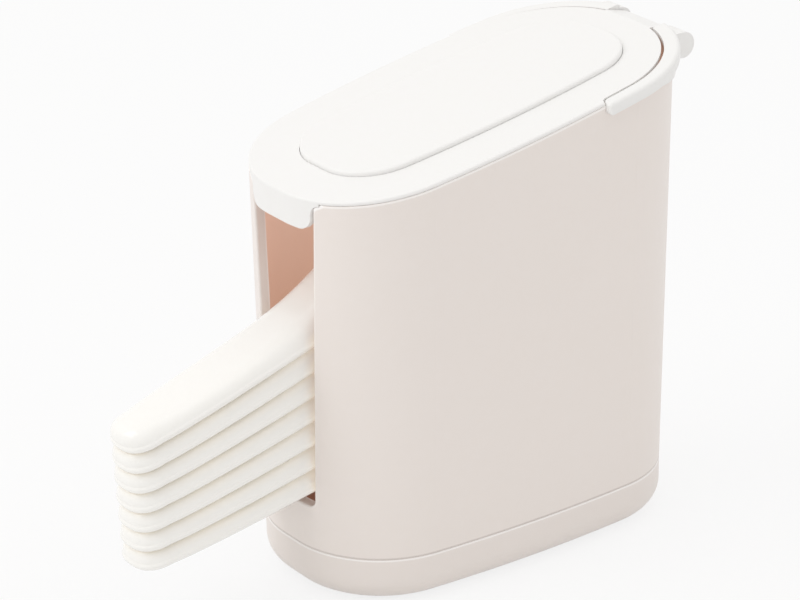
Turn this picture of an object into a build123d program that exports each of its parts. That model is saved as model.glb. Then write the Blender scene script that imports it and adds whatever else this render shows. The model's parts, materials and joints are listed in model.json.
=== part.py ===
"""Cutlery storage box: a lidded spoon box with a front slot, a hinged sloping lid and a drip tray.

Frame: +Z up, the slot faces -Y, the origin is on the table under the middle of the box.
"""

import os
from math import atan, cos, degrees, hypot, radians, sin, tan

from build123d import *

# Box outline, where the body meets the base tray
BOX_LENGTH = 186.0
BOX_WIDTH = 103.0
END_FLAT = 11.2
SIDE_RADIUS = 668.0
DRAFT = 0.92
WALL = 2.8
BASE_HEIGHT = 22.0
LID_HEIGHT = 198.0
LID_SLOPE = 10.15
SEAM_ROUND = 0.4
OVERRUN = 20.0

# Base tray and its pads
BASE_ROUND = 10.5
BASE_WALL = 2.6
BASE_FLOOR = 2.6
SHELF = 3.0
SPIGOT_WALL = 2.0
SPIGOT_RISE = 6.0
SPIGOT_FIT = 0.3
PAD_RADIUS = 6.5
PAD_SEAT = 1.2
PAD_STAND = 1.0
PAD_FIT = 0.1
PAD_ROUND = 0.4
PAD_SPREAD_SHARES = (0.24, 0.33)

# Spoons, measured along and across their rim plane
SPOON_COUNT = 7
SPOON_LENGTH = 182.0
SPOON_REACH = 82.7
TIP_WIDTH = 25.0
NECK_WIDTH = 31.2
BOWL_WIDTH = 52.0
TIP_ROUND = 6.0
NECK_ROUND = 60.0
TIP_HEIGHT = 9.3
NECK_HEIGHT = 11.2
BOWL_HEIGHT = 23.0
BOWL_SETBACK = 14.0
BOWL_RISE = 40.0
SPOON_ROUND = 9.0
SPOON_WALL = 2.0
SPOON_DRAFT = 18.0
NEST_GAP = 1.7
TIP_PITCH_SHARE = 0.725
TIP_LEAN = 0.4
STACK_TILT = 10.4

# Slot in the front wall, sized by the handles that pass through it
SILL_HEIGHT = 42.0
SILL_GAP = 6.0
SLOT_PLAY = 1.0
SLOT_FLARE = 2.1
SLOT_ROUND = 3.5
SLOT_LIP = 4.0
SLOT_LIP_DEPTH = 5.1
SLOT_EDGE_ROUND = 1.0

# Sloping drain floor and the ledge that carries it
FLOOR_THICKNESS = 2.4
FLOOR_FIT = 0.6
FLOOR_SETBACK = 23.0
FLOOR_LIP = 5.0
LEDGE = 4.0
LEDGE_DEPTH = 3.0
DRAIN_WIDTH = 4.0
DRAIN_LENGTH = 30.0
DRAIN_PITCH = 13.0
DRAIN_ROW_PITCH = 42.0
DRAIN_COLUMNS = 5
DRAIN_ROWS = 3

# Lid and its panel
LID_RIM = 1.9
LID_ROUND = 0.9
LID_GAP = 0.6
LID_BACK_GAP = 0.9
PLUG = 1.2
PLUG_INSET = 7.5
RIB_DEPTH = 4.0
RIB_WALL = 1.6
PANEL_INSET = 21.3
PANEL_SEAT = 1.2
PANEL_RISE = 2.0
PANEL_ROUND = 1.2
PANEL_GAP = 0.25
TONGUE_DROP = 11.4
TONGUE_WALL = 2.4
TONGUE_GAP = 0.6
TONGUE_ROUND = 6.0

# Collar round the rear of the rim
COLLAR_REACH = 59.0
COLLAR_PROUD = 3.0
COLLAR_DROP = 3.8
COLLAR_RISE = 1.5
COLLAR_FLANGE = 2.2
COLLAR_BACK = 2.3
COLLAR_FIT = 0.1
COLLAR_ROUND = 1.8
COLLAR_CORNER = 3.0
CORBEL_DROP = 10.0
CORBEL_EDGE = 0.8
CORBEL_STEP = 0.5
CORBEL_REACH = 34.0

# Hinge
HINGE_SETBACK = 2.9
HINGE_DROP = 6.5
KNUCKLE_RADIUS = 5.8
KNUCKLE_WIDTH = 11.0
BARREL_RADIUS = 4.6
BARREL_CLEARANCE = 0.7
ARM_WIDTH = 30.0
ARM_GAP = 0.6
PIN_RADIUS = 2.0
PIN_PLAY = 0.05
PIN_STOP = 1.6
PIN_CHAMFER = 0.3

# Worked out from the sizes above
half_length = BOX_LENGTH / 2
half_width = BOX_WIDTH / 2
flat = END_FLAT / 2
lean = tan(radians(DRAFT))
fall = tan(radians(LID_SLOPE))
side_centre = half_width - SIDE_RADIUS
corner_radius = (SIDE_RADIUS**2 - (flat - side_centre) ** 2 - half_length**2) / (
    2 * (SIDE_RADIUS - half_length)
)
corner_y = half_length - corner_radius
rear_wall = half_length + (LID_HEIGHT - BASE_HEIGHT) * lean
rim_front = LID_HEIGHT - rear_wall * fall
hinge_y = rear_wall + HINGE_SETBACK
hinge_z = LID_HEIGHT + hinge_y * fall - HINGE_DROP
collar_front = half_length - COLLAR_REACH
floor_front = -half_length + FLOOR_SETBACK
arm_slot = ARM_WIDTH / 2 + ARM_GAP
knuckle_end = arm_slot + KNUCKLE_WIDTH
slot_half = NECK_WIDTH / 2 + SLOT_PLAY
bowl_pitch = (SPOON_WALL + NEST_GAP) / sin(radians(SPOON_DRAFT))
tip_pitch = bowl_pitch * TIP_PITCH_SHARE
bowl_place = SPOON_LENGTH - BOWL_WIDTH / 2
fan_radius = bowl_place * tip_pitch / (bowl_pitch - tip_pitch)
fan_step = (bowl_pitch - tip_pitch) / bowl_place

lid_plane = Plane.XY.offset(LID_HEIGHT).rotated((LID_SLOPE, 0, 0))
lid_normal = Axis(lid_plane.origin, lid_plane.z_dir)
floor_plane = Plane((0, -half_length, SILL_HEIGHT + SILL_GAP)).rotated((STACK_TILT, 0, 0))

os.makedirs("parts", exist_ok=True)


def box_section(height, inset):
    """The box's rounded outline at a height, drawn in by an inset."""
    grow = (height - BASE_HEIGHT) * lean - inset
    radius = corner_radius + grow
    reach = hypot(flat - side_centre, corner_y)
    out_x = (flat - side_centre) / reach
    out_y = corner_y / reach
    end = half_length + grow
    side = (flat + radius * out_x, corner_y + radius * out_y)
    bisector = hypot(out_x, 1 + out_y)
    corner = (flat + radius * out_x / bisector, corner_y + radius * (1 + out_y) / bisector)
    with BuildSketch(Plane.XY.offset(height)) as section:
        with BuildLine():
            Line((0, end), (flat, end))
            ThreePointArc((flat, end), corner, side)
            ThreePointArc(side, (half_width + grow, 0), (side[0], -side[1]))
            ThreePointArc((side[0], -side[1]), (corner[0], -corner[1]), (flat, -end))
            Line((flat, -end), (0, -end))
            mirror(about=Plane.YZ)
        make_face()
    return section.sketch


def box_core(inset):
    """The drafted box as a filled block, drawn in by an inset, from the base seam to above the lid."""
    with BuildPart() as core:
        extrude(box_section(BASE_HEIGHT, inset), amount=LID_HEIGHT + OVERRUN, taper=-DRAFT)
    return core.part


def slab(plane, low, high):
    """A wide plate between two heights over a sloping plane."""
    with BuildPart() as plate:
        with BuildSketch(plane.offset(low)):
            Rectangle(2 * BOX_LENGTH, 2 * BOX_LENGTH)
        extrude(amount=high - low)
    return plate.part


def behind(front):
    """All the space behind a place along the box."""
    with BuildPart() as block:
        with BuildSketch(Plane.XZ.offset(-front)):
            Rectangle(2 * BOX_LENGTH, 2 * (LID_HEIGHT + BOX_LENGTH))
        extrude(amount=-BOX_LENGTH)
    return block.part


def step_edges(builder, front):
    """The upright edges of the collar's steps at a place along the box."""
    upright = builder.edges().filter_by(lambda e: abs(e.tangent_at(0.5).Z) > cos(radians(45)))
    return upright.filter_by(lambda e: abs(e.center().Y - front) < COLLAR_PROUD and abs(e.center().X) < BOX_WIDTH)


def slot_half_at(height):
    """Half the slot's width at a height."""
    return slot_half + (height - SILL_HEIGHT) * tan(radians(SLOT_FLARE))


def rim_at(place, height):
    """How high a height over the lid seam lies at a place along the box."""
    return LID_HEIGHT + place * fall + height / cos(radians(LID_SLOPE))


def slot_prism(grow):
    """The slot's outline, grown on all sides, run through the front wall."""
    sill = SILL_HEIGHT - grow
    low = slot_half + grow
    high = slot_half_at(rim_front) + grow
    flare = high + SLOT_ROUND
    top = rim_front + OVERRUN
    with BuildPart() as prism:
        with BuildSketch(Plane.XZ):
            with BuildLine():
                Polyline(
                    (-low, sill),
                    (low, sill),
                    (high, rim_front),
                    (flare, rim_front),
                    (flare, top),
                    (-flare, top),
                    (-flare, rim_front),
                    (-high, rim_front),
                    close=True,
                )
            make_face()
            fillet(vertices().filter_by(lambda v: abs(v.X) < high + SLOT_ROUND / 2), radius=SLOT_ROUND)
        extrude(amount=BOX_LENGTH)
    return prism.part


def hinge_rod(radius, left, right):
    """A rod along the hinge axis."""
    with BuildPart() as rod:
        with BuildSketch(Plane.YZ.offset(left)):
            with Locations((hinge_y, hinge_z)):
                Circle(radius)
        extrude(amount=right - left)
    return rod.part


def hinge_web(radius, front, back, low, high, left, right):
    """A rod on the hinge axis with a web running forward to a stretch of the lid seam."""
    with BuildPart() as web:
        with BuildSketch(Plane.YZ.offset(left)):
            with Locations((hinge_y, hinge_z)):
                Circle(radius)
            with BuildLine(mode=Mode.PRIVATE) as anchor:
                Polyline(
                    (front, rim_at(front, low)),
                    (back, rim_at(back, low)),
                    (back, rim_at(back, high)),
                    (front, rim_at(front, high)),
                    close=True,
                )
            make_face(anchor.edges())
            make_hull()
        extrude(amount=right - left)
    return web.part


def spoon_block(skin):
    """A spoon's filled form lying on its rim, tip at the origin, drawn in by a skin."""
    inset = skin / cos(radians(SPOON_DRAFT))
    spread = (NECK_WIDTH - TIP_WIDTH) / 2 / SPOON_REACH
    climb = (NECK_HEIGHT - TIP_HEIGHT) / SPOON_REACH
    tip = TIP_WIDTH / 2 - inset
    root = tip + bowl_place * spread
    far = SPOON_LENGTH + OVERRUN
    rise = SPOON_REACH + BOWL_SETBACK
    rise_end = rise + BOWL_RISE
    low = TIP_HEIGHT + rise * climb - skin
    high = BOWL_HEIGHT - skin
    with BuildPart() as block:
        with BuildSketch():
            with BuildLine():
                Polyline((-tip, inset), (tip, inset), (root, bowl_place), (-root, bowl_place), close=True)
            make_face()
            with Locations((0, bowl_place)):
                Circle(BOWL_WIDTH / 2 - inset)
            necks = vertices().filter_by(lambda v: SPOON_REACH < v.Y < bowl_place - inset)
            fillet(necks, radius=NECK_ROUND + inset)
        extrude(amount=BOWL_HEIGHT + TIP_HEIGHT, taper=SPOON_DRAFT)
        with BuildSketch(Plane.YZ):
            with BuildLine():
                handle = Line((-OVERRUN, low - (rise + OVERRUN) * climb), (rise, low))
                hollow = TangentArc(handle @ 1, ((rise + rise_end) / 2, (low + high) / 2), tangent=handle % 1)
                crown = TangentArc(hollow @ 1, (rise_end, high), tangent=hollow % 1)
                back = Line(crown @ 1, (far, high + (far - rise_end) * climb))
                Polyline(back @ 1, (far, -OVERRUN), (-OVERRUN, -OVERRUN), handle @ 0)
            make_face()
        extrude(amount=BOWL_WIDTH, both=True, mode=Mode.INTERSECT)
        tops = faces().filter_by(lambda f: f.normal_at().Z > sin(radians(45)))
        outer = tops.edges().filter_by(lambda e: sum(e in f.edges() for f in tops) == 1)
        nose = faces().sort_by(Axis.Y)[0].edges()
        fillet(outer.filter_by(lambda e: e not in nose), radius=SPOON_ROUND - skin)
        nose = faces().sort_by(Axis.Y)[0].edges()
        fillet(nose.filter_by(lambda e: e not in nose.group_by(Axis.Z)[0]), radius=TIP_ROUND - skin)
    return block.part


# Base tray: a rounded pan with a shelf for the body and a spigot that centres it
with BuildPart() as cavity:
    extrude(box_section(BASE_HEIGHT - SHELF, BASE_WALL), amount=PAD_STAND + BASE_FLOOR + SHELF - BASE_HEIGHT)
    fillet(faces().sort_by(Axis.Z)[0].edges(), radius=BASE_ROUND - BASE_WALL)

pad_places = GridLocations(2 * PAD_SPREAD_SHARES[0] * BOX_WIDTH, 2 * PAD_SPREAD_SHARES[1] * BOX_LENGTH, 2, 2)

with BuildPart() as base_tray:
    extrude(box_section(BASE_HEIGHT, 0), amount=PAD_STAND - BASE_HEIGHT)
    fillet(faces().sort_by(Axis.Z)[0].edges(), radius=BASE_ROUND)
    fillet(faces().sort_by(Axis.Z)[-1].edges(), radius=SEAM_ROUND)
    extrude(box_section(BASE_HEIGHT, WALL + SPIGOT_FIT), amount=SPIGOT_RISE)
    extrude(
        box_section(BASE_HEIGHT - SHELF, WALL + SPIGOT_FIT + SPIGOT_WALL),
        amount=SHELF + SPIGOT_RISE + OVERRUN,
        mode=Mode.SUBTRACT,
    )
    add(cavity.part, mode=Mode.SUBTRACT)
    with BuildSketch(Plane.XY.offset(PAD_STAND)):
        with pad_places:
            Circle(PAD_RADIUS + PAD_FIT)
    extrude(amount=PAD_SEAT, mode=Mode.SUBTRACT)
base_tray.part.label = "base_tray"
export_step(base_tray.part, "parts/base_tray.step")

# Foot pads, seated in the pockets under the tray
for number, place in enumerate(pad_places.locations, start=1):
    with BuildPart() as foot_pad:
        with BuildSketch():
            with Locations(place):
                Circle(PAD_RADIUS)
        extrude(amount=PAD_STAND + PAD_SEAT)
        fillet(faces().sort_by(Axis.Z)[0].edges(), radius=PAD_ROUND)
    foot_pad.part.label = f"foot_pad_{number}"
    export_step(foot_pad.part, f"parts/foot_pad_{number}.step")

# Room for the lid's hinge arm in the rear wall and the collar
with BuildPart() as notch:
    with BuildSketch(Plane.XZ.offset(-corner_y)):
        with Locations((0, hinge_z - BARREL_RADIUS - BARREL_CLEARANCE)):
            Rectangle(2 * arm_slot, BOX_LENGTH, align=(Align.CENTER, Align.MIN))
    extrude(amount=-BOX_LENGTH)
arm_notch = notch.part

# Body: a drafted shell with the slot, its lip, the ledge and the notch for the hinge
shell_hollow = box_core(WALL) - slot_prism(SLOT_LIP)
ledge_ring = box_core(WALL / 2) - box_core(WALL + LEDGE)
ledge_layer = slab(floor_plane, -FLOOR_THICKNESS - LEDGE_DEPTH, -FLOOR_THICKNESS)
ledge = ledge_ring & ledge_layer & behind(floor_front + FLOOR_THICKNESS + LEDGE)
with BuildPart() as body_shell:
    add(box_core(0))
    with BuildSketch(Plane.XZ):
        with BuildLine():
            Polyline(
                (-slot_half, SILL_HEIGHT),
                (slot_half, SILL_HEIGHT),
                (slot_half_at(2 * LID_HEIGHT), 2 * LID_HEIGHT),
                (-slot_half_at(2 * LID_HEIGHT), 2 * LID_HEIGHT),
                close=True,
            )
        make_face()
        fillet(vertices().group_by(Axis.Y)[0], radius=SLOT_ROUND)
    extrude(amount=BOX_LENGTH, mode=Mode.SUBTRACT)
    slot_edges = edges().filter_by(lambda e: SILL_HEIGHT - WALL < e.center().Z < LID_HEIGHT)
    slot_edges = slot_edges.filter_by(lambda e: e.center().Y < -corner_y and abs(e.center().X) < half_width / 2)
    fillet(slot_edges, radius=SLOT_EDGE_ROUND)
    add(slab(lid_plane, 0, BOX_LENGTH), mode=Mode.SUBTRACT)
    fillet(faces().sort_by(Axis.Z)[0].edges(), radius=SEAM_ROUND)
    fillet(faces().sort_by(lid_normal)[-1].edges(), radius=SEAM_ROUND)
    add(shell_hollow, mode=Mode.SUBTRACT)
    add(box_core(SLOT_LIP_DEPTH), mode=Mode.SUBTRACT)
    add(slot_prism(0), mode=Mode.SUBTRACT)
    add(ledge)
    add(arm_notch, mode=Mode.SUBTRACT)
body_shell.part.label = "body_shell"
export_step(body_shell.part, "parts/body_shell.step")

# Drain floor: a sloping slotted plate with a turned-down front edge
with BuildPart() as drain_floor:
    add(box_core(WALL + FLOOR_FIT) & slab(floor_plane, -FLOOR_THICKNESS - FLOOR_LIP, 0) & behind(floor_front))
    add(
        slab(floor_plane, -OVERRUN, -FLOOR_THICKNESS) & behind(floor_front + FLOOR_THICKNESS),
        mode=Mode.SUBTRACT,
    )
    with BuildSketch(floor_plane):
        with Locations((0, (FLOOR_SETBACK + BOX_LENGTH) / 2)):
            with GridLocations(DRAIN_PITCH, DRAIN_ROW_PITCH, DRAIN_COLUMNS, DRAIN_ROWS):
                SlotOverall(DRAIN_LENGTH, DRAIN_WIDTH, rotation=90)
    extrude(amount=-FLOOR_THICKNESS, mode=Mode.SUBTRACT)
drain_floor.part.label = "drain_floor"
export_step(drain_floor.part, "parts/drain_floor.step")

# Collar: a band with a flange, set over the rear of the rim, with a corbel and two knuckles
wall_seat = box_core(-COLLAR_FIT) & slab(lid_plane, -BOX_LENGTH, 0)
with BuildPart() as lid_side:
    add(Pos(0, -COLLAR_BACK, 0) * box_core(COLLAR_FLANGE))
    with BuildSketch(Plane.XZ.offset(-collar_front)):
        Rectangle(2 * BOX_LENGTH, 2 * (LID_HEIGHT + BOX_LENGTH))
    extrude(amount=BOX_LENGTH)
    fillet(step_edges(lid_side, collar_front), radius=COLLAR_CORNER)
corbel_top = rim_at(rear_wall, -COLLAR_DROP / 2)
corbel_low = rim_at(rear_wall, -COLLAR_DROP) - CORBEL_DROP
corbel_front = rear_wall - CORBEL_REACH
corbel_lean = (COLLAR_PROUD - CORBEL_STEP - CORBEL_EDGE) / (corbel_top - corbel_low)
with BuildPart() as corbel:
    extrude(
        box_section(corbel_top, CORBEL_STEP - COLLAR_PROUD),
        amount=corbel_low - corbel_top,
        taper=degrees(atan(corbel_lean)),
    )
    with BuildSketch(Plane.YZ):
        with BuildLine():
            Polyline(
                (corbel_front, rim_at(corbel_front, -COLLAR_DROP)),
                (rear_wall, corbel_low),
                (rear_wall + OVERRUN, corbel_low),
                (rear_wall + OVERRUN, rim_at(rear_wall + OVERRUN, -COLLAR_DROP / 2)),
                (corbel_front, rim_at(corbel_front, -COLLAR_DROP / 2)),
                close=True,
            )
        make_face()
    extrude(amount=BOX_WIDTH, both=True, mode=Mode.INTERSECT)
    add(box_core(WALL / 2), mode=Mode.SUBTRACT)
with BuildPart() as hinge_collar:
    add(box_core(-COLLAR_PROUD))
    add(slab(lid_plane, -COLLAR_DROP, COLLAR_RISE), mode=Mode.INTERSECT)
    add(behind(collar_front), mode=Mode.INTERSECT)
    rounded = faces().sort_by(lid_normal)[-1].edges() + faces().sort_by(Axis.Y)[0].edges()
    fillet(edges().filter_by(lambda e: e in rounded), radius=COLLAR_ROUND)
    add(lid_side.part, mode=Mode.SUBTRACT)
    add(corbel.part)
    for left in (-knuckle_end, arm_slot):
        knuckle = hinge_web(
            KNUCKLE_RADIUS, rear_wall - WALL, rear_wall, -KNUCKLE_RADIUS, 0, left, left + KNUCKLE_WIDTH
        )
        add(knuckle)
    add(wall_seat, mode=Mode.SUBTRACT)
    add(arm_notch, mode=Mode.SUBTRACT)
    add(hinge_rod(PIN_RADIUS + PIN_PLAY, -knuckle_end - OVERRUN, knuckle_end - PIN_STOP), mode=Mode.SUBTRACT)
hinge_collar.part.label = "hinge_collar"
export_step(hinge_collar.part, "parts/hinge_collar.step")

# Hinge pin, pushed in from the open knuckle until it meets the blind one
with BuildPart() as hinge_pin:
    add(hinge_rod(PIN_RADIUS, -knuckle_end, knuckle_end - PIN_STOP))
    chamfer(edges().filter_by(GeomType.CIRCLE), length=PIN_CHAMFER)
hinge_pin.part.label = "hinge_pin"
export_step(hinge_pin.part, "parts/hinge_pin.step")

# Lid: a rim flush with the body, a plug with a locating rib, the tongue and the hinge arm
lid_step = collar_front - LID_GAP
lid_back = COLLAR_BACK + LID_BACK_GAP
arm_back = rear_wall - COLLAR_FLANGE - LID_GAP - lid_back
with BuildPart() as collar_room:
    add(behind(lid_step))
    add(Pos(0, -lid_back, 0) * box_core(COLLAR_FLANGE + LID_GAP), mode=Mode.SUBTRACT)
    fillet(step_edges(collar_room, lid_step), radius=COLLAR_CORNER)
tongue_low = rim_front - TONGUE_DROP
with BuildPart() as tongue:
    add(slot_prism(-TONGUE_GAP))
    with BuildSketch(Plane.XZ):
        with Locations((0, tongue_low)):
            Rectangle(2 * slot_half_at(tongue_low) - 2 * TONGUE_GAP, BOX_LENGTH, align=(Align.CENTER, Align.MIN))
        fillet(vertices().group_by(Axis.Y)[0], radius=TONGUE_ROUND)
        with Locations((0, rim_front - TONGUE_DROP / 3)):
            Rectangle(BOX_WIDTH, BOX_LENGTH, align=(Align.CENTER, Align.MIN))
    extrude(amount=BOX_LENGTH, mode=Mode.INTERSECT)
    add(slab(lid_plane, LID_RIM / 2, BOX_LENGTH), mode=Mode.SUBTRACT)
    add(box_core(0), mode=Mode.INTERSECT)
    add(box_core(TONGUE_WALL), mode=Mode.SUBTRACT)
with BuildPart() as lid:
    add(box_core(0))
    add(slab(lid_plane, 0, LID_RIM), mode=Mode.INTERSECT)
    fillet(faces().sort_by(lid_normal)[-1].edges(), radius=LID_ROUND)
    add(collar_room.part, mode=Mode.SUBTRACT)
    add(tongue.part)
    add(box_core(PLUG_INSET) & slab(lid_plane, -PLUG, LID_RIM / 2))
    add((box_core(PLUG_INSET) - box_core(PLUG_INSET + RIB_WALL)) & slab(lid_plane, -PLUG - RIB_DEPTH, 0))
    add(hinge_web(BARREL_RADIUS, arm_back - PLUG_INSET, arm_back, 0, LID_RIM, -ARM_WIDTH / 2, ARM_WIDTH / 2))
    add(box_core(PANEL_INSET) & slab(lid_plane, LID_RIM - PANEL_SEAT, BOX_LENGTH), mode=Mode.SUBTRACT)
    add(hinge_rod(PIN_RADIUS + PIN_PLAY, -BOX_WIDTH, BOX_WIDTH), mode=Mode.SUBTRACT)
lid.part.label = "lid"
export_step(lid.part, "parts/lid.step")

# Lid panel: a raised plate let into the lid
with BuildPart() as lid_panel:
    add(box_core(PANEL_INSET + PANEL_GAP))
    add(slab(lid_plane, LID_RIM - PANEL_SEAT, LID_RIM + PANEL_RISE), mode=Mode.INTERSECT)
    fillet(faces().sort_by(lid_normal)[-1].edges(), radius=PANEL_ROUND)
lid_panel.part.label = "lid_panel"
export_step(lid_panel.part, "parts/lid_panel.step")

# Spoons: one form, fanned about a far axis beyond the tips so that each nests on the one below
with BuildPart() as spoon_form:
    add(spoon_block(0))
    add(spoon_block(SPOON_WALL), mode=Mode.SUBTRACT)

fan_axis = floor_plane.from_local_coords((0, -SPOON_REACH - fan_radius, 0))
fan_run = fan_radius * cos(radians(STACK_TILT))
for number in range(1, SPOON_COUNT + 1):
    tilt = STACK_TILT + degrees(fan_step) * (SPOON_COUNT - number)
    tip_place = (fan_run - TIP_LEAN * (SPOON_COUNT - number)) / cos(radians(tilt))
    with BuildPart() as spoon:
        add(Plane(fan_axis).rotated((tilt, 0, 0)).location * Pos(0, tip_place, 0) * spoon_form.part)
    spoon.part.label = f"spoon_{number}"
    export_step(spoon.part, f"parts/spoon_{number}.step")
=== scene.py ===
"""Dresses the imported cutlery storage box.

The shell, the tray and the lid get moulded plastics, the spoons are drawn anew with soft edges, and a plain
studio with the photograph's viewing angle stands round them.
"""

import json
import math
from collections import namedtuple

import bmesh
import bpy
from bpy.props import FloatProperty, FloatVectorProperty, PointerProperty
from mathutils import Matrix, Vector


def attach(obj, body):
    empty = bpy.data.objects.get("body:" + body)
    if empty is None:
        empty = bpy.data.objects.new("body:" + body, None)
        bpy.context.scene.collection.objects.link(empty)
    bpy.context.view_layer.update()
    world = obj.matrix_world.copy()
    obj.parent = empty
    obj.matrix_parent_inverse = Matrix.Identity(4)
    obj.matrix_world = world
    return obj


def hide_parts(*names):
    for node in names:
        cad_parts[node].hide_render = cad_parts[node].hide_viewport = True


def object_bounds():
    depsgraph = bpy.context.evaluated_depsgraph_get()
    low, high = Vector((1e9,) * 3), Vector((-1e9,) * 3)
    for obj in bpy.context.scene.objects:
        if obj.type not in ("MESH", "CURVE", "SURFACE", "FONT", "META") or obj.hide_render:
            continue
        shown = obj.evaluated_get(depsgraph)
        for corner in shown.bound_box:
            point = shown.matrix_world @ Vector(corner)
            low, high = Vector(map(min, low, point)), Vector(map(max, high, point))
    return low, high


bl_info = {
    "name": "Cutlery Storage Box",
    "version": (1, 0, 0),
    "blender": (4, 5, 0),
    "location": "View3D > Sidebar > Cutlery Box",
    "description": "Finishes for a spoon box with a hinged lid, and a plain studio around it",
    "category": "Object",
}

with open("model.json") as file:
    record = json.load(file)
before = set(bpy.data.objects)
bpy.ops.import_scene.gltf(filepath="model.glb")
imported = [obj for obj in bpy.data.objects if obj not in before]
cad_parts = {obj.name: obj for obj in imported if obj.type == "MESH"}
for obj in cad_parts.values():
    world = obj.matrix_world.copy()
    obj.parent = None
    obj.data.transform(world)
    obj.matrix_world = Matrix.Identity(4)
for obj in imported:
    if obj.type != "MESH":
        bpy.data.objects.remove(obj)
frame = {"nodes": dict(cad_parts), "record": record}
cad_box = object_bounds()

NODES = frame["nodes"]
SPOONS = sorted(name for name in NODES if name.startswith("spoon_"))
PADS = sorted(name for name in NODES if name.startswith("foot_pad_"))
LIFTS = {joint["child"]: joint["axis"] for joint in frame["record"]["behaviour"]["joints"]}

MILLIMETRE = 0.001
RIGHT_ANGLE = math.radians(90)
BLACK, WHITE = (0, 0, 0, 1), (1, 1, 1, 1)

# a material with the nodes that later steps add to
Plastic = namedtuple("Plastic", "material tree shader skin")

# spread of the roughness, fineness of the grain and strength of its relief
Skin = namedtuple("Skin", "spread grain bump")
MOULDED_SKIN = Skin(spread=0.08, grain=1400.0, bump=0.06)
LID_SKIN = Skin(spread=0.08, grain=1400.0, bump=0.05)
GLAZE_SKIN = Skin(spread=0.06, grain=700.0, bump=0.03)
STEEL_SKIN = Skin(spread=0.2, grain=2200.0, bump=0.15)
RUBBER_SKIN = Skin(spread=0.15, grain=900.0, bump=0.3)
CLOUD_DETAIL, FINE_DETAIL = 3, 2
FLECK_SCALE = 260.0
GRAIN_DEPTH = 0.0002
DEEP_TINT = (0.985, 0.972, 0.955)
# painted shade: the tray's ivory is made a little darker than the shell's, for the shade on the low part of
# the box
TRAY_PAINTED_SHADE = 0.975

# cosine between a face and the way out from the middle line, where the inside's painted shade and glow start
# and where they are full
INWARD_TURN = (-0.55, -0.85)

# painted edge highlight: its reach into the wall, the shares of free rays where it starts and is full, and
# its painted glow
EDGE_REACH = 0.0016
EDGE_DEPTHS = (0.95, 0.6)
EDGE_LIGHT = 0.06
# heights under which the edges of the shell and of the tray get painted shade in place of the painted
# highlight, and the run of the change
SHELL_SHADE, TRAY_SHADE = 0.03, 0.012
SHADE_RUN = 0.006

# gaps between the spoons: reach of the painted shade, run from the tips over which its painted glow grows,
# its least share
GAP_REACH = 0.005
TIP_RUN = 0.045
TIP_SHARE = 0.2

# sockets of a Mix node that mixes colours
MIX_FACTOR, MIX_FIRST, MIX_SECOND, MIX_RESULT = 0, 6, 7, 2

# half widths of a spoon in millimetres at distances from its tip, nose to bowl
HANDLE_SIDES = (
    (15.0, 13.6), (20.5, 14.35), (28.0, 14.95), (42.0, 15.6), (58.0, 15.95), (82.7, 16.2),
    (100.0, 16.6), (112.0, 17.1), (122.0, 17.9), (134.0, 20.0), (144.4, 23.27),
)
# heights of a spoon's top over its rim, the same way
SPOON_TOPS = (
    (0.0, 9.3), (12.0, 9.1), (25.0, 8.5), (43.0, 8.1), (58.0, 8.3), (75.0, 9.2), (84.0, 10.1), (96.7, 11.9),
    (106.7, 14.3), (116.7, 17.4), (126.7, 20.6), (136.7, 22.9), (160.0, 23.5), (190.0, 24.2),
)
# steps along the plan of a spoon and up its section
NOSE_STEPS, SIDE_STEPS, BOWL_STEPS = 14, 34, 14
TUCK_STEPS, LIP_STEPS, SHOULDER_STEPS = 5, 5, 8
SIDE_SHARES = (0, 0.34, 0.67)
# shares of the handle's tuck and lip that the bowl keeps, and the run of the change each way, in tucks
BOWL_TUCK, BOWL_LIP, NECK_RUN = 0.25, 0.05, 5
# width of the rim's flat at the bowl and on the handle, and the inside's first step in and up, in walls
BOWL_LAND, HANDLE_LAND = 0.65, 0.45
STEP_IN, STEP_UP = 0.15, 0.2
# largest share of a leaning side that its shoulder may take
SHOULDER_SHARE = 0.95
MERGE_DISTANCE = 1e-6

# softboxes, in metres
Softbox = namedtuple("Softbox", "name place aim side")
KEY = Softbox("key_softbox", place=(-0.55, -1.5, 1.75), aim=(0, -0.05, 0.12), side=1.7)
TOP = Softbox("top_softbox", place=(0.25, 0.35, 2.1), aim=(0, 0, 0.15), side=1.8)
FLOOR_GREY = (0.86, 0.86, 0.86, 1)
FLOOR_ROUGHNESS = 0.9
# share of plain white in the floor as the camera sees it
FLOOR_WHITE = 0.8
SENSOR_WIDTH = 36
CLIP_END = 50


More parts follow.
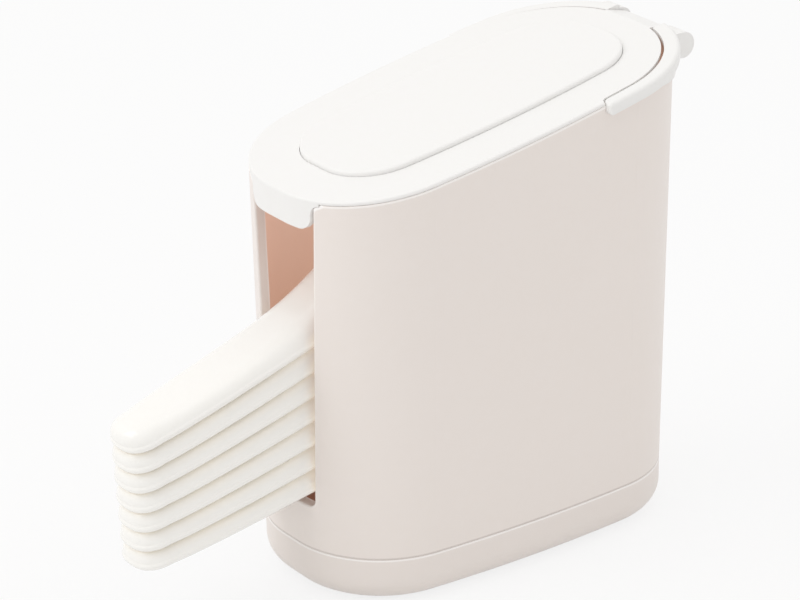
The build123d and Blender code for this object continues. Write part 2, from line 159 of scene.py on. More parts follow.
class BoxFinish(bpy.types.PropertyGroup):
    """Colours and surface of the moulded pieces."""

    ivory: FloatVectorProperty(
        name="Ivory", description="Outside of the shell and the tray",
        default=(0.875, 0.816, 0.779), size=3, subtype="COLOR", min=0, max=1)
    lid_white: FloatVectorProperty(
        name="Lid white", description="Lid, its panel and the hinge collar",
        default=(0.9, 0.899, 0.892), size=3, subtype="COLOR", min=0, max=1)
    # painted highlight: the colour that the outer edges of the shell and the tray are lightened to
    edge: FloatVectorProperty(
        name="Edge", description="Outer edges of the shell and the tray, which catch the light",
        default=(0.965, 0.94, 0.925), size=3, subtype="COLOR", min=0, max=1)
    # painted shade: the colour that the lower edges of the shell and the tray, by the seam, are darkened to
    seam: FloatVectorProperty(
        name="Seam", description="Lower edges of the shell and the tray, which lie in the shade",
        default=(0.58, 0.52, 0.485), size=3, subtype="COLOR", min=0, max=1)
    # painted warm shade: stands in for the light that bounces round inside the box, on the inside faces and
    # the drain floor
    cavity_shade: FloatVectorProperty(
        name="Cavity", description="Inside faces of the shell, seen through the slot, and the drain floor",
        default=(0.82, 0.7, 0.62), size=3, subtype="COLOR", min=0, max=1)
    # painted glow: these two colours stand in for light that comes through the walls into the box
    low_glow: FloatVectorProperty(
        name="Low glow", description="Light through the walls near the floor of the box",
        default=(0.1, 0.045, 0.03), size=3, subtype="COLOR", min=0, max=1)
    high_glow: FloatVectorProperty(
        name="High glow", description="Light through the walls under the lid",
        default=(0.265, 0.182, 0.15), size=3, subtype="COLOR", min=0, max=1)
    roughness: FloatProperty(
        name="Roughness", description="Middle of the moulded skin's roughness",
        default=0.4, min=0, max=1, subtype="FACTOR")


class SpoonFinish(bpy.types.PropertyGroup):
    """Colour and gloss of the spoons."""

    melamine: FloatVectorProperty(
        name="Melamine", description="Body colour of the spoons",
        default=(0.955, 0.95, 0.925), size=3, subtype="COLOR", min=0, max=1)
    # painted warm shade in the gaps between the spoons
    crevice_shade: FloatVectorProperty(
        name="Crevice", description="Tint in the gaps between the spoons",
        default=(0.93, 0.87, 0.77), size=3, subtype="COLOR", min=0, max=1)
    # painted glow in the gaps, standing in for the light the pale spoons pass on to each other
    gap_glow: FloatVectorProperty(
        name="Gap glow", description="Light that the spoons pass on to each other in the gaps",
        default=(0.3, 0.272, 0.226), size=3, subtype="COLOR", min=0, max=1)
    roughness: FloatProperty(
        name="Roughness", description="Middle of the glaze's roughness",
        default=0.18, min=0, max=1, subtype="FACTOR")
    coat: FloatProperty(
        name="Coat", description="Weight of the clear coat over the glaze",
        default=0.4, min=0, max=1, subtype="FACTOR")
    coat_roughness: FloatProperty(
        name="Coat roughness", description="Roughness of the clear coat",
        default=0.08, min=0, max=1, subtype="FACTOR")


class FittingsFinish(bpy.types.PropertyGroup):
    """Colours and surfaces of the hinge pin and the foot pads."""

    steel: FloatVectorProperty(
        name="Steel", description="Colour of the hinge pin",
        default=(0.55, 0.55, 0.56), size=3, subtype="COLOR", min=0, max=1)
    steel_roughness: FloatProperty(
        name="Steel roughness", description="Middle of the hinge pin's roughness",
        default=0.32, min=0, max=1, subtype="FACTOR")
    rubber: FloatVectorProperty(
        name="Rubber", description="Colour of the foot pads",
        default=(0.45, 0.43, 0.4), size=3, subtype="COLOR", min=0, max=1)
    rubber_roughness: FloatProperty(
        name="Rubber roughness", description="Middle of the foot pads' roughness",
        default=0.75, min=0, max=1, subtype="FACTOR")


class SpoonForm(bpy.types.PropertyGroup):
    """Sizes of one spoon, measured from its tip along its rim plane."""

    nose_run: FloatProperty(
        name="Nose run", description="Length of the rounded end of the handle",
        default=0.015, subtype="DISTANCE", unit="LENGTH")
    nose_set: FloatProperty(
        name="Nose set", description="How far the drawn end stands back from the solid's tip",
        default=0.0014, subtype="DISTANCE", unit="LENGTH")
    nose_power: FloatProperty(
        name="Nose power", description="Two for an ellipse, more for a blunter end",
        default=2.5, min=1)
    bowl_place: FloatProperty(
        name="Bowl place", description="Distance from the tip to the middle of the bowl",
        default=0.156, subtype="DISTANCE", unit="LENGTH")
    bowl_radius: FloatProperty(
        name="Bowl radius", description="Radius of the bowl's rim",
        default=0.026, subtype="DISTANCE", unit="LENGTH")
    rise_start: FloatProperty(
        name="Rise start", description="Where the handle starts to rise to the bowl",
        default=0.0967, subtype="DISTANCE", unit="LENGTH")
    draft: FloatProperty(
        name="Draft", description="Lean of the sides",
        default=math.radians(18), subtype="ANGLE", unit="ROTATION")
    shoulder: FloatProperty(
        name="Shoulder", description="Radius between the sides and the top",
        default=0.009, subtype="DISTANCE", unit="LENGTH")
    nose_draft: FloatProperty(
        name="Nose draft", description="Lean of the end of the handle",
        default=math.radians(6), subtype="ANGLE", unit="ROTATION")
    nose_shoulder: FloatProperty(
        name="Nose shoulder", description="Radius between the end of the handle and its top",
        default=0.0055, subtype="DISTANCE", unit="LENGTH")
    wall: FloatProperty(
        name="Wall", description="Thickness of the spoon",
        default=0.002, subtype="DISTANCE", unit="LENGTH")
    tuck: FloatProperty(
        name="Tuck", description="Radius by which the handle's lower edge turns under",
        default=0.0021, subtype="DISTANCE", unit="LENGTH")
    lip: FloatProperty(
        name="Lip", description="Radius of the bead over the handle's lower edge",
        default=0.0018, subtype="DISTANCE", unit="LENGTH")
    lip_turn: FloatProperty(
        name="Lip turn", description="How far the bead turns in before the side rises from it",
        default=math.radians(50), subtype="ANGLE", unit="ROTATION")


class Studio(bpy.types.PropertyGroup):
    """The camera and the light round the box."""

    azimuth: FloatProperty(
        name="Azimuth", description="Camera's turn round the box, from the slot side",
        default=math.radians(54.333), subtype="ANGLE", unit="ROTATION")
    elevation: FloatProperty(
        name="Elevation", description="Camera's height over the horizon",
        default=math.radians(23.562), subtype="ANGLE", unit="ROTATION")
    roll: FloatProperty(
        name="Roll", description="Camera's roll",
        default=math.radians(-0.852), subtype="ANGLE", unit="ROTATION")
    distance: FloatProperty(
        name="Distance", description="Camera's distance from the middle of the box",
        default=1.5136, subtype="DISTANCE", unit="LENGTH")
    middle: FloatVectorProperty(
        name="Middle", description="Point in the box that the camera turns about",
        default=(0, 0, 0.09208), size=3, subtype="TRANSLATION", unit="LENGTH")
    aside: FloatVectorProperty(
        name="Aside", description="How far the camera stands to the left of that point's line, and below it",
        default=(0.027735, -0.013946), size=2, unit="LENGTH")
    lens: FloatProperty(
        name="Lens", description="Focal length on a 36 mm sensor, in millimetres",
        default=157.5, min=1)
    floor_size: FloatProperty(
        name="Floor size", description="Width of the floor",
        default=12, subtype="DISTANCE", unit="LENGTH")
    room_light: FloatVectorProperty(
        name="Room light", description="Colour of the light from all round",
        default=(1, 0.99, 0.98), size=3, subtype="COLOR", min=0, max=1)
    room_strength: FloatProperty(
        name="Room strength", description="Level of the light from all round",
        default=0.83, min=0)
    key_power: FloatProperty(
        name="Key power", description="Power of the softbox in front of the slot",
        default=12, min=0, subtype="POWER", unit="POWER")
    top_power: FloatProperty(
        name="Top power", description="Power of the softbox over the lid",
        default=3, min=0, subtype="POWER", unit="POWER")


def new_group(name, inputs, outputs):
    """A shader node group with named sockets, and its two end nodes."""
    group = bpy.data.node_groups.new(name, "ShaderNodeTree")
    for label, kind, default in inputs:
        socket = group.interface.new_socket(name=label, in_out="INPUT", socket_type=kind)
        socket.default_value = default
    for label, kind in outputs:
        group.interface.new_socket(name=label, in_out="OUTPUT", socket_type=kind)
    return group, group.nodes.new("NodeGroupInput"), group.nodes.new("NodeGroupOutput")


def group_node(tree, group, values):
    """A shader node group placed in a material, with values or links for its named inputs."""
    node = tree.nodes.new("ShaderNodeGroup")
    node.node_tree = group
    for label, value in values.items():
        feed(tree, value, node.inputs[label])
    return node


def feed(tree, value, socket):
    """Links an input socket to an output socket, or sets it to a value."""
    if isinstance(value, bpy.types.NodeSocket):
        tree.links.new(value, socket)
    else:
        socket.default_value = value


def math_node(tree, operation, first, second):
    """The result of a Math node."""
    node = tree.nodes.new("ShaderNodeMath")
    node.operation = operation
    feed(tree, first, node.inputs[0])
    feed(tree, second, node.inputs[1])
    return node.outputs[0]


def vector_node(tree, operation, *vectors):
    """The outputs of a Vector Math node."""
    node = tree.nodes.new("ShaderNodeVectorMath")
    node.operation = operation
    for vector, socket in zip(vectors, node.inputs):
        feed(tree, vector, socket)
    return node.outputs


def noise_node(tree, place, scale, detail):
    """A noise field over a place."""
    node = tree.nodes.new("ShaderNodeTexNoise")
    feed(tree, place, node.inputs["Vector"])
    feed(tree, scale, node.inputs["Scale"])
    feed(tree, detail, node.inputs["Detail"])
    return node.outputs["Fac"]


def range_node(tree, value, low, high):
    """A smooth step from zero at low to one at high."""
    node = tree.nodes.new("ShaderNodeMapRange")
    node.interpolation_type = "SMOOTHSTEP"
    feed(tree, value, node.inputs["Value"])
    feed(tree, low, node.inputs["From Min"])
    feed(tree, high, node.inputs["From Max"])
    return node.outputs["Result"]


def mix_node(tree, factor, first, second):
    """A mix of two colours."""
    node = tree.nodes.new("ShaderNodeMix")
    node.data_type = "RGBA"
    for value, index in ((factor, MIX_FACTOR), (first, MIX_FIRST), (second, MIX_SECOND)):
        feed(tree, value, node.inputs[index])
    return node.outputs[MIX_RESULT]


def place_node(tree):
    """The X, Y and Z of a shaded point in the frame."""
    split = tree.nodes.new("ShaderNodeSeparateXYZ")
    tree.links.new(tree.nodes.new("ShaderNodeTexCoord").outputs["Object"], split.inputs[0])
    return split.outputs


def moulded_skin():
    """Cloudy colour, uneven gloss and a fine moulded grain, shared by all the materials of the box."""
    if "moulded_skin" in bpy.data.node_groups:
        return bpy.data.node_groups["moulded_skin"]
    group, start, end = new_group(
        "moulded_skin",
        (
            ("Color", "NodeSocketColor", (0.8, 0.8, 0.8, 1)),
            ("Deep Color", "NodeSocketColor", (0.7, 0.7, 0.7, 1)),
            ("Cloud Scale", "NodeSocketFloat", 9.0),
            ("Grain Scale", "NodeSocketFloat", 1400.0),
            ("Roughness", "NodeSocketFloat", 0.4),
            ("Roughness Spread", "NodeSocketFloat", 0.08),
        ),
        (("Color", "NodeSocketColor"), ("Roughness", "NodeSocketFloat"), ("Height", "NodeSocketFloat")),
    )
    place = group.nodes.new("ShaderNodeTexCoord").outputs["Object"]
    cloud = noise_node(group, place, start.outputs["Cloud Scale"], CLOUD_DETAIL)
    flecks = noise_node(group, place, FLECK_SCALE, FINE_DETAIL)
    grain = noise_node(group, place, start.outputs["Grain Scale"], FINE_DETAIL)
    blotch = math_node(group, "MULTIPLY", math_node(group, "ADD", cloud, flecks), 0.5)
    color = mix_node(group, blotch, start.outputs["Color"], start.outputs["Deep Color"])
    swing = math_node(group, "SUBTRACT", cloud, 0.5)
    swing = math_node(group, "MULTIPLY", swing, start.outputs["Roughness Spread"])
    roughness = math_node(group, "ADD", start.outputs["Roughness"], swing)
    for value, label in ((color, "Color"), (roughness, "Roughness"), (grain, "Height")):
        group.links.new(value, end.inputs[label])
    return group


def wall_glow():
    """Painted warm light through the walls: a mask of the faces that look in, and a painted glow that grows
    upwards.
    """
    if "wall_glow" in bpy.data.node_groups:
        return bpy.data.node_groups["wall_glow"]
    group, start, end = new_group(
        "wall_glow",
        (
            ("Half Run", "NodeSocketFloat", 0.049),
            ("Whole", "NodeSocketFloat", 0.0),
            ("Low Height", "NodeSocketFloat", 0.035),
            ("High Height", "NodeSocketFloat", 0.19),
            ("Rim Height", "NodeSocketFloat", 0.2),
            ("Low Color", "NodeSocketColor", (0.2, 0.08, 0.05, 1)),
            ("High Color", "NodeSocketColor", (0.5, 0.3, 0.2, 1)),
        ),
        (("Mask", "NodeSocketFloat"), ("Glow", "NodeSocketColor")),
    )
    place = place_node(group)
    normal = group.nodes.new("ShaderNodeTexCoord").outputs["Normal"]
    half = start.outputs["Half Run"]
    on_line = math_node(group, "MAXIMUM", place["Y"], math_node(group, "MULTIPLY", half, -1.0))
    on_line = math_node(group, "MINIMUM", on_line, half)
    away = group.nodes.new("ShaderNodeCombineXYZ")
    group.links.new(place["X"], away.inputs["X"])
    group.links.new(math_node(group, "SUBTRACT", place["Y"], on_line), away.inputs["Y"])
    unit = vector_node(group, "NORMALIZE", away.outputs[0])["Vector"]
    facing = vector_node(group, "DOT_PRODUCT", unit, normal)["Value"]
    inward = range_node(group, facing, *INWARD_TURN)
    mask = math_node(group, "MAXIMUM", inward, start.outputs["Whole"])
    group.links.new(mask, end.inputs["Mask"])
    high = start.outputs["High Height"]
    height = range_node(group, place["Z"], start.outputs["Low Height"], high)
    glow = mix_node(group, height, start.outputs["Low Color"], start.outputs["High Color"])
    under_rim = range_node(group, place["Z"], start.outputs["Rim Height"], high)
    lit = math_node(group, "MULTIPLY", mask, under_rim)
    group.links.new(mix_node(group, lit, BLACK, glow), end.inputs["Glow"])
    return group


def lit_edges():
    """Painted highlights on outer edges that catch the light, and painted shade on edges under a low height,
    in the shade of a seam.
    """
    if "lit_edges" in bpy.data.node_groups:
        return bpy.data.node_groups["lit_edges"]
    group, start, end = new_group(
        "lit_edges",
        (
            ("Color", "NodeSocketColor", (0.8, 0.8, 0.8, 1)),
            ("Glow", "NodeSocketColor", BLACK),
            ("Depth", "NodeSocketFloat", 1.0),
            ("Low Height", "NodeSocketFloat", 0.0),
            ("Edge Color", "NodeSocketColor", (0.95, 0.95, 0.95, 1)),
            ("Edge Glow", "NodeSocketColor", (0.05, 0.05, 0.05, 1)),
            ("Seam Color", "NodeSocketColor", (0.5, 0.5, 0.5, 1)),
        ),
        (("Color", "NodeSocketColor"), ("Glow", "NodeSocketColor")),
    )
    near = range_node(group, start.outputs["Depth"], *EDGE_DEPTHS)
    low = start.outputs["Low Height"]
    height = range_node(group, place_node(group)["Z"], low, math_node(group, "ADD", low, SHADE_RUN))
    highlight_and_shade = mix_node(group, height, start.outputs["Seam Color"], start.outputs["Edge Color"])
    color = mix_node(group, near, start.outputs["Color"], highlight_and_shade)
    lit = math_node(group, "MULTIPLY", near, height)
    glow = mix_node(group, lit, start.outputs["Glow"], start.outputs["Edge Glow"])
    group.links.new(color, end.inputs["Color"])
    group.links.new(glow, end.inputs["Glow"])
    return group


def shade(color, factor=1):
    """A colour with its channels scaled, as four numbers."""
    return (color[0] * factor, color[1] * factor, color[2] * factor, 1)


def deepen(color):
    """A slightly deeper and warmer colour for the clouds in a plastic."""
    return (color[0] * DEEP_TINT[0], color[1] * DEEP_TINT[1], color[2] * DEEP_TINT[2], 1)


def skin_node(tree, color, roughness, skin):
    """The moulded skin with its values, placed in a material."""
    values = {
        "Color": shade(color),
        "Deep Color": deepen(color),
        "Roughness": roughness,
        "Roughness Spread": skin.spread,
        "Grain Scale": skin.grain,
    }
    return group_node(tree, moulded_skin(), values)


def plastic(name, color, roughness, skin):
    """A material with the moulded skin."""
    material = bpy.data.materials.new(name)
    material.use_nodes = True
    tree = material.node_tree
    shader = tree.nodes["Principled BSDF"]
    surface = skin_node(tree, color, roughness, skin)
    tree.links.new(surface.outputs["Color"], shader.inputs["Base Color"])
    tree.links.new(surface.outputs["Roughness"], shader.inputs["Roughness"])
    relief = tree.nodes.new("ShaderNodeBump")
    relief.inputs["Strength"].default_value = skin.bump
    relief.inputs["Distance"].default_value = GRAIN_DEPTH
    tree.links.new(surface.outputs["Height"], relief.inputs["Height"])
    tree.links.new(relief.outputs["Normal"], shader.inputs["Normal"])
    return Plastic(material, tree, shader, surface)


def emit(made, glow):
    """Lets a plastic give off a glow."""
    made.tree.links.new(glow, made.shader.inputs["Emission Color"])
    made.shader.inputs["Emission Strength"].default_value = 1


def light_inside(made, finish, whole):
    """Gives a plastic the painted warm shade of its inside and a painted glow, on the faces that look in or,
    with whole one, on all.
    """
    tree = made.tree
    values = {"Whole": whole, "Low Color": shade(finish.low_glow), "High Color": shade(finish.high_glow)}
    glow = group_node(tree, wall_glow(), values)
    inside = skin_node(tree, finish.cavity_shade, finish.roughness, MOULDED_SKIN)
    painted_shade = mix_node(tree, glow.outputs["Mask"], made.skin.outputs["Color"], inside.outputs["Color"])
    tree.links.new(painted_shade, made.shader.inputs["Base Color"])
    emit(made, glow.outputs["Glow"])


def light_edges(made, finish, low):
    """Lays painted highlights on a plastic's outer edges over its colour and glow; edges under the low
    height get painted shade.
    """
    solid = made.tree.nodes.new("ShaderNodeAmbientOcclusion")
    solid.inside = True
    solid.only_local = True
    solid.inputs["Distance"].default_value = EDGE_REACH
    values = {
        "Depth": solid.outputs["AO"],
        "Low Height": low,
        "Edge Color": shade(finish.edge),
        "Edge Glow": shade(finish.edge, EDGE_LIGHT),
        "Seam Color": shade(finish.seam),
    }
    targets = {"Color": made.shader.inputs["Base Color"], "Glow": made.shader.inputs["Emission Color"]}
    for label, target in targets.items():
        if target.is_linked:
            values[label] = target.links[0].from_socket
    edges = group_node(made.tree, lit_edges(), values)
    made.tree.links.new(edges.outputs["Color"], targets["Color"])
    emit(made, edges.outputs["Glow"])


def paint_gap_shade_and_glow(made, finish):
    """Paints warm shade into the gaps between the spoons and a painted glow over it, for the light pale
    pieces pass on, less near the open tips.
    """
    tree = made.tree
    gap = tree.nodes.new("ShaderNodeAmbientOcclusion")
    gap.inputs["Distance"].default_value = GAP_REACH
    closed = math_node(tree, "SUBTRACT", 1.0, gap.outputs["AO"])
    painted_shade = mix_node(tree, closed, made.skin.outputs["Color"], shade(finish.crevice_shade))
    tree.links.new(painted_shade, made.shader.inputs["Base Color"])
    tip = cad_box[0][1]
    covered = range_node(tree, place_node(tree)["Y"], tip, tip + TIP_RUN)
    lit = math_node(tree, "MULTIPLY", closed, math_node(tree, "MAXIMUM", covered, TIP_SHARE))
    emit(made, mix_node(tree, lit, BLACK, shade(finish.gap_glow)))


def dress(names, material):
    """Gives CAD nodes one material."""
    for name in names:
        node = NODES[name]
        if not node.material_slots:
            node.data.materials.append(material)
        for slot in node.material_slots:
            slot.link = "OBJECT"
            slot.material = material


def smooth(value, low, high):
    """A smooth step from zero at low to one at high."""
    share = min(max((value - low) / (high - low), 0), 1)
    return share * share * (3 - 2 * share)


def blend(first, last, share):
    """A value between two others."""
    return first + (last - first) * share


def through(points, place):
    """The value at a place on a smooth line through points of place and value."""
    index = max(i for i in range(len(points) - 1) if points[i][0] <= place or i == 0)
    (x0, y0), (x1, y1) = points[index], points[index + 1]

    def slope(i):
        first, last = points[max(i - 1, 0)], points[min(i + 1, len(points) - 1)]
        return (last[1] - first[1]) / (last[0] - first[0])

    run = x1 - x0
    t = (place - x0) / run
    start, end = slope(index) * run, slope(index + 1) * run
    bend = 2 * y0 - 2 * y1 + start + end
    return y0 + t * (start + t * (3 * (y1 - y0) - 2 * start - end + t * bend))


def spoon_outline(form):
    """The plan of a spoon at its widest, from the tip round one side to the bowl's end.

    Each point comes with the place on the middle line that the levels over it are drawn in to.
    """
    sides = [(y * MILLIMETRE, x * MILLIMETRE) for y, x in HANDLE_SIDES]
    nose_width = sides[0][1]
    neck, neck_width = sides[-1]
    rise, middle = form.rise_start, form.bowl_place
    outline = []
    for step in range(NOSE_STEPS):
        turn = RIGHT_ANGLE * step / NOSE_STEPS
        x = nose_width * math.sin(turn) ** (2 / form.nose_power)
        y = form.nose_run - (form.nose_run - form.nose_set) * math.cos(turn) ** (2 / form.nose_power)
        outline.append(((x, y), form.nose_run))
    for step in range(SIDE_STEPS):
        y = blend(form.nose_run, neck, step / SIDE_STEPS)
        drawn = blend(rise, middle, (y - rise) / (neck - rise))
        outline.append(((through(sides, y), y), max(y, drawn)))
    first = math.atan2(neck - middle, neck_width)
    for step in range(BOWL_STEPS + 1):
        turn = blend(first, RIGHT_ANGLE, step / BOWL_STEPS)
        place = (form.bowl_radius * math.cos(turn), middle + form.bowl_radius * math.sin(turn))
        outline.append((place, middle))
    return outline


def top_height(y):
    """Height of the spoon's top over its rim at a distance from the tip."""
    return through(SPOON_TOPS, y / MILLIMETRE) * MILLIMETRE


def arch(foot, foot_height, top, draft, radius):
    """Insets and heights of a leaning side and the shoulder that joins it to the top."""
    bend = math.tan((RIGHT_ANGLE - draft) / 2)
    radius = min(radius, SHOULDER_SHARE * (top - foot_height) / math.cos(draft) / bend)
    reach = foot + (top - foot_height) * math.tan(draft) + radius * bend
    shoulder = []
    for step in range(SHOULDER_STEPS + 1):
        turn = blend(draft, RIGHT_ANGLE, step / SHOULDER_STEPS)
        shoulder.append((reach - radius * math.cos(turn), top - radius * (1 - math.sin(turn))))
    start, start_height = shoulder[0]
    side = [(blend(foot, start, share), blend(foot_height, start_height, share)) for share in SIDE_SHARES]
    return side + shoulder


def spoon_levels(form, y, top):
    """Insets and heights over the rim plane: first the outside upwards, then the inside upwards."""
    neck_run = form.tuck * NECK_RUN
    handle = 1 - smooth(y, form.rise_start - neck_run, form.rise_start + neck_run)
    tuck = form.tuck * blend(BOWL_TUCK, 1, handle)
    outside = []
    for step in range(TUCK_STEPS):
        turn = RIGHT_ANGLE * step / TUCK_STEPS
        outside.append((tuck * (1 - math.sin(turn)), tuck * (1 - math.cos(turn))))
    lip = form.lip * blend(BOWL_LIP, 1, handle)
    for step in range(LIP_STEPS + 1):
        turn = form.lip_turn * step / LIP_STEPS
        outside.append((lip * (1 - math.cos(turn)), tuck + lip * math.sin(turn)))
    nose = 1 - smooth(y, form.nose_set, form.nose_run)
    draft = blend(form.draft, form.nose_draft, nose)
    shoulder = blend(form.shoulder, form.nose_shoulder, nose)
    outside += arch(*outside[-1], top, draft, shoulder)[1:]
    wall = form.wall
    land = tuck + wall * blend(BOWL_LAND, HANDLE_LAND, handle)
    inside = arch(land + wall * STEP_IN, wall * STEP_UP, top - wall, draft, shoulder - wall)
    return outside, [(land, 0)] + inside


def spoon_mesh(name, form, origin, along, rise):
    """A spoon as loops of its plan, drawn in and lifted level by level, closed over top and hollow."""
    mesh = bmesh.new()
    across = Vector((1, 0, 0))
    half = spoon_outline(form)
    ring = half + [((-x, y), drawn) for (x, y), drawn in half[-2:0:-1]]

    def columns(side):
        made = []
        for (x, y), drawn in ring:
            top = top_height(y)
            inward = Vector((-x, drawn - y))
            reach = inward.length
            levels = spoon_levels(form, y, top)[side]
            last, last_height = levels[-1]
            levels = levels + [((last + reach) / 2, last_height), (reach, last_height)]
            column = []
            for inset, height in levels:
                plan = Vector((x, y)) + inward * (inset / reach)
                lift = height
                if height > top / 2:
                    lift += top_height(plan.y) - top
                column.append(mesh.verts.new(origin + across * plan.x + along * plan.y + rise * lift))
            made.append(column)
        return made

    outside, inside = columns(0), columns(1)
    for index, (outer, inner) in enumerate(zip(outside, inside)):
        following = (index + 1) % len(ring)
        next_outer, next_inner = outside[following], inside[following]
        for level in range(len(outer) - 1):
            mesh.faces.new((outer[level], next_outer[level], next_outer[level + 1], outer[level + 1]))
        for level in range(len(inner) - 1):
            mesh.faces.new((inner[level], inner[level + 1], next_inner[level + 1], next_inner[level]))
        mesh.faces.new((outer[0], inner[0], next_inner[0], next_outer[0]))
    bmesh.ops.remove_doubles(mesh, verts=mesh.verts, dist=MERGE_DISTANCE)
    bmesh.ops.recalc_face_normals(mesh, faces=mesh.faces)
    made = bpy.data.meshes.new(name)
    mesh.to_mesh(made)
    mesh.free()
    made.shade_smooth()
    return made


def seen_share(tree):
    """One where the camera looks, straight or by way of gloss or glass, and zero for other light."""
    path = tree.nodes.new("ShaderNodeLightPath").outputs
    seen = math_node(tree, "MAXIMUM", path["Is Camera Ray"], path["Is Glossy Ray"])
    return math_node(tree, "MAXIMUM", seen, path["Is Transmission Ray"])


def mix_shaders(tree, share, first, second, end):
    """Links a mix of two shader nodes to an output node."""
    mix = tree.nodes.new("ShaderNodeMixShader")
    for value, socket in zip((share, first.outputs[0], second.outputs[0]), mix.inputs):
        tree.links.new(value, socket)
    tree.links.new(mix.outputs[0], end.inputs["Surface"])


class BOX_OT_shell(bpy.types.Operator):
    """Finishes the body shell, the base tray and the drain floor"""

    bl_idname = "cutlery_box.shell"
    bl_label = "Shell, tray and drain floor"

    def execute(self, context):
        finish = context.scene.box_finish
        shell = plastic("body_shell_ivory", finish.ivory, finish.roughness, MOULDED_SKIN)
        light_inside(shell, finish, whole=0)
        light_edges(shell, finish, SHELL_SHADE)
        # painted shade: the tray gets the shell's ivory a little darker
        tray = plastic("base_tray_ivory", shade(finish.ivory, TRAY_PAINTED_SHADE), finish.roughness, MOULDED_SKIN)
        light_edges(tray, finish, TRAY_SHADE)
        # the drain floor gets the painted warm shade and the painted glow of the inside all over
        drain = plastic("drain_floor_ivory", finish.cavity_shade, finish.roughness, MOULDED_SKIN)
        light_inside(drain, finish, whole=1)
        dress(["body_shell"], shell.material)
        dress(["base_tray"], tray.material)
        dress(["drain_floor"], drain.material)
        return {"FINISHED"}


class BOX_OT_lid(bpy.types.Operator):
    """Finishes the lid, its panel and the hinge collar"""

    bl_idname = "cutlery_box.lid"
    bl_label = "Lid, panel and collar"

    def execute(self, context):
        finish = context.scene.box_finish
        for name in ("lid", "lid_panel", "hinge_collar"):
            white = plastic(f"{name}_white", finish.lid_white, finish.roughness, LID_SKIN)
            dress([name], white.material)
        return {"FINISHED"}


class BOX_OT_spoons(bpy.types.Operator):
    """Makes the stack of soft-edged spoons in the places of their solids"""

    bl_idname = "cutlery_box.spoons"
    bl_label = "Spoons"

    def execute(self, context):
        finish = context.scene.spoon_finish
        glaze = plastic("spoon_melamine", finish.melamine, finish.roughness, GLAZE_SKIN)
        paint_gap_shade_and_glow(glaze, finish)
        glaze.shader.inputs["Coat Weight"].default_value = finish.coat
        glaze.shader.inputs["Coat Roughness"].default_value = finish.coat_roughness
        form = context.scene.spoon_form
        for name in SPOONS:
            rise = Vector(LIFTS[name])
            along = Vector((0, rise.z, -rise.y))
            solid = [vertex.co for vertex in NODES[name].data.vertices]
            tip = min(point.dot(along) for point in solid)
            rim = min(point.dot(rise) for point in solid)
            mesh = spoon_mesh(f"{name}_glazed", form, along * tip + rise * rim, along, rise)
            mesh.materials.append(glaze.material)
            piece = bpy.data.objects.new(f"{name}_glazed", mesh)
            context.collection.objects.link(piece)
            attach(piece, name)
            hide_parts(name)
        return {"FINISHED"}


class BOX_OT_fittings(bpy.types.Operator):
    """Finishes the hinge pin and the foot pads"""

    bl_idname = "cutlery_box.fittings"
    bl_label = "Hinge pin and pads"

    def execute(self, context):
        finish = context.scene.fittings_finish
        steel = plastic("pin_steel", finish.steel, finish.steel_roughness, STEEL_SKIN)
        steel.shader.inputs["Metallic"].default_value = 1
        rubber = plastic("pad_rubber", finish.rubber, finish.rubber_roughness, RUBBER_SKIN)
        dress(["hinge_pin"], steel.material)
        dress(PADS, rubber.material)
        return {"FINISHED"}


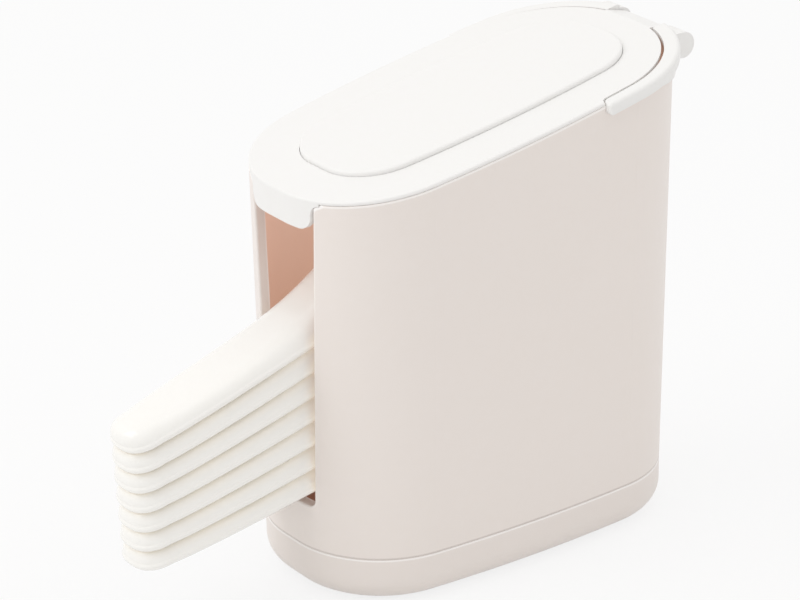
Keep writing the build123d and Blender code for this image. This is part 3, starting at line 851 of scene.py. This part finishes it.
class BOX_OT_stage(bpy.types.Operator):
    """Sets the floor, the lights, the world and the camera"""

    bl_idname = "cutlery_box.stage"
    bl_label = "Studio"

    def execute(self, context):
        studio = context.scene.box_studio
        half = studio.floor_size / 2
        corners = [(-half, -half, 0), (half, -half, 0), (half, half, 0), (-half, half, 0)]
        mesh = bpy.data.meshes.new("floor")
        mesh.from_pydata(corners, [], [(0, 1, 2, 3)])
        floor = bpy.data.objects.new("floor", mesh)
        context.collection.objects.link(floor)
        mesh.materials.append(self.floor_paint())
        self.world(context, studio)
        self.lamp(context, KEY, studio.key_power)
        self.lamp(context, TOP, studio.top_power)
        self.camera(context, studio)
        context.scene.view_settings.view_transform = "Standard"
        return {"FINISHED"}

    def floor_paint(self):
        """A nearly white floor that keeps some of the box's shadow."""
        paint = bpy.data.materials.new("floor_white")
        paint.use_nodes = True
        tree = paint.node_tree
        shader = tree.nodes["Principled BSDF"]
        shader.inputs["Base Color"].default_value = FLOOR_GREY
        shader.inputs["Roughness"].default_value = FLOOR_ROUGHNESS
        shader.inputs["Specular IOR Level"].default_value = 0
        white = tree.nodes.new("ShaderNodeEmission")
        white.inputs["Color"].default_value = WHITE
        share = math_node(tree, "MULTIPLY", seen_share(tree), FLOOR_WHITE)
        mix_shaders(tree, share, shader, white, tree.nodes["Material Output"])
        return paint

    def world(self, context, studio):
        """White where it is seen, plain room light elsewhere."""
        world = bpy.data.worlds.new("studio_room")
        world.use_nodes = True
        tree = world.node_tree
        room = tree.nodes["Background"]
        room.inputs["Color"].default_value = shade(studio.room_light)
        room.inputs["Strength"].default_value = studio.room_strength
        white = tree.nodes.new("ShaderNodeBackground")
        white.inputs["Color"].default_value = WHITE
        mix_shaders(tree, seen_share(tree), room, white, tree.nodes["World Output"])
        context.scene.world = world

    def lamp(self, context, softbox, power):
        """A square softbox at its place, turned to its aim."""
        light = bpy.data.lights.new(softbox.name, "AREA")
        light.shape = "SQUARE"
        light.size = softbox.side
        light.energy = power
        lamp = bpy.data.objects.new(softbox.name, light)
        lamp.location = softbox.place
        toward = Vector(softbox.aim) - Vector(softbox.place)
        lamp.rotation_euler = toward.to_track_quat("-Z", "Y").to_euler()
        context.collection.objects.link(lamp)

    def camera(self, context, studio):
        """The camera at the photograph's viewing angle."""
        turn, lift = studio.azimuth, studio.elevation
        back = Vector((math.sin(turn) * math.cos(lift), -math.cos(turn) * math.cos(lift), math.sin(lift)))
        right = Vector((math.cos(turn), math.sin(turn), 0))
        up = back.cross(right)
        across = math.cos(studio.roll) * right + math.sin(studio.roll) * up
        upright = math.cos(studio.roll) * up - math.sin(studio.roll) * right
        place = Vector(studio.middle) + studio.distance * back
        place -= studio.aside[0] * across + studio.aside[1] * upright
        lens = bpy.data.cameras.new("camera")
        lens.sensor_width = SENSOR_WIDTH
        lens.lens = studio.lens
        lens.clip_end = CLIP_END
        camera = bpy.data.objects.new("camera", lens)
        turned = Matrix((across, upright, back)).transposed().to_4x4()
        camera.matrix_world = Matrix.Translation(place) @ turned
        context.collection.objects.link(camera)
        context.scene.camera = camera


class BOX_PT_panel(bpy.types.Panel):
    """Lists the finishes of the box"""

    bl_idname = "BOX_PT_panel"
    bl_label = "Cutlery Box"
    bl_space_type = "VIEW_3D"
    bl_region_type = "UI"
    bl_category = "Cutlery Box"

    def draw(self, context):
        layout = self.layout
        scene = context.scene
        finishes = (scene.box_finish, scene.spoon_finish, scene.fittings_finish)
        for group in (*finishes, scene.spoon_form, scene.box_studio):
            for name in group.__annotations__:
                layout.prop(group, name)
        for operator in OPERATORS:
            layout.operator(operator.bl_idname)


GROUPS = (BoxFinish, SpoonFinish, FittingsFinish, SpoonForm, Studio)
OPERATORS = (BOX_OT_shell, BOX_OT_lid, BOX_OT_spoons, BOX_OT_fittings, BOX_OT_stage)
CLASSES = (*GROUPS, *OPERATORS, BOX_PT_panel)


def register():
    """Adds the classes and the scene's settings."""
    for item in CLASSES:
        bpy.utils.register_class(item)
    bpy.types.Scene.box_finish = PointerProperty(type=BoxFinish)
    bpy.types.Scene.spoon_finish = PointerProperty(type=SpoonFinish)
    bpy.types.Scene.fittings_finish = PointerProperty(type=FittingsFinish)
    bpy.types.Scene.spoon_form = PointerProperty(type=SpoonForm)
    bpy.types.Scene.box_studio = PointerProperty(type=Studio)


def unregister():
    """Takes the scene's settings and the classes away."""
    del bpy.types.Scene.box_studio
    del bpy.types.Scene.spoon_form
    del bpy.types.Scene.fittings_finish
    del bpy.types.Scene.spoon_finish
    del bpy.types.Scene.box_finish
    for item in reversed(CLASSES):
        bpy.utils.unregister_class(item)


def main():
    """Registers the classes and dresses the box."""
    register()
    bpy.ops.cutlery_box.shell()
    bpy.ops.cutlery_box.lid()
    bpy.ops.cutlery_box.spoons()
    bpy.ops.cutlery_box.fittings()
    bpy.ops.cutlery_box.stage()


if __name__ == "__main__":
    main()
